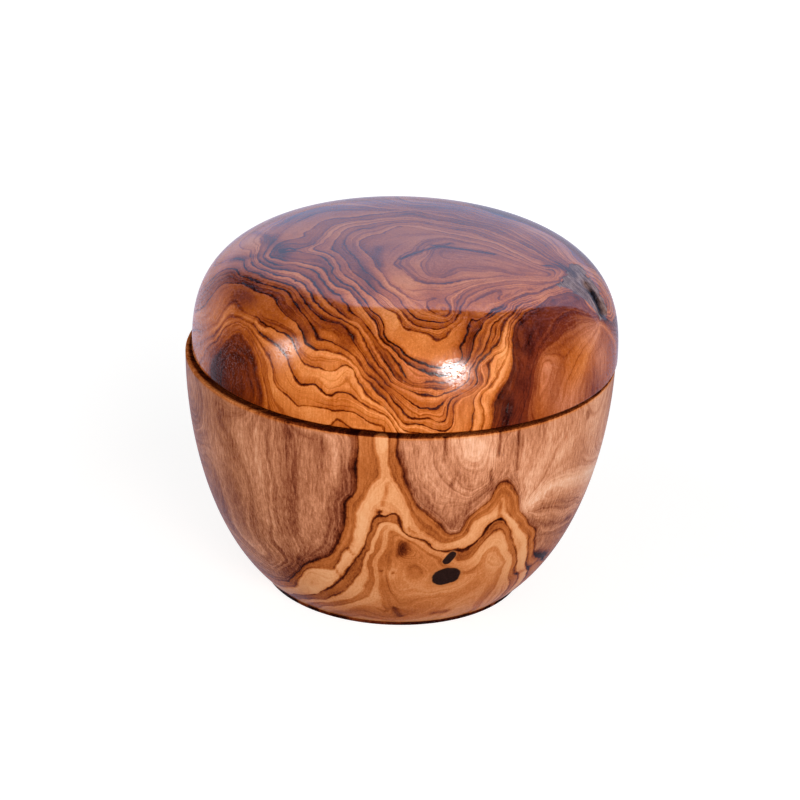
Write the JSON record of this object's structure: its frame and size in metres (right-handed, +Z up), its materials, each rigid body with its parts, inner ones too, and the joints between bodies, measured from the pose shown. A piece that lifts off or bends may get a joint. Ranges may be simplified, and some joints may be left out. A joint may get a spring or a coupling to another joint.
{
  "type": "salt keeper with swivel lid",
  "caption": "Round turned olive wood salt keeper: a hollow bowl closed by a heavy domed lid that swivels sideways on an upright pin at the back and is held shut by magnets.",
  "frame": {"origin": "centre of the flat base, on the surface the keeper stands on", "axes": "+Z up along the turning axis of the bowl, -Y towards the front with the catch, +Y towards the swivel pin, +X to the right seen from the front"},
  "size_m": [0.1104, 0.11, 0.0937],
  "materials": {
    "bowl_wood": "oiled and lacquered olive wood, satin gloss",
    "lid_wood": "oiled and lacquered olive wood, gloss",
    "pin_steel": "ground steel dowel pin",
    "brass": "turned brass, lightly worn",
    "magnet_nickel": "bright nickel plate"
  },
  "bodies": {
    "bowl_body": {"bowl": "bowl_wood", "hinge_pin": "pin_steel", "spacer_washer": "brass", "bowl_magnet": "magnet_nickel"},
    "lid_body": {"lid": "lid_wood", "pin_sleeve": "brass", "lid_magnet": "magnet_nickel"}
  },
  "joints": [
    {"name": "lid_swivel", "type": "hinge", "parent": "bowl_body", "child": "lid_body", "pos_m": [0, 0.0486, 0.0617], "axis": [0, 0, 1], "continuous": true}
  ]
}
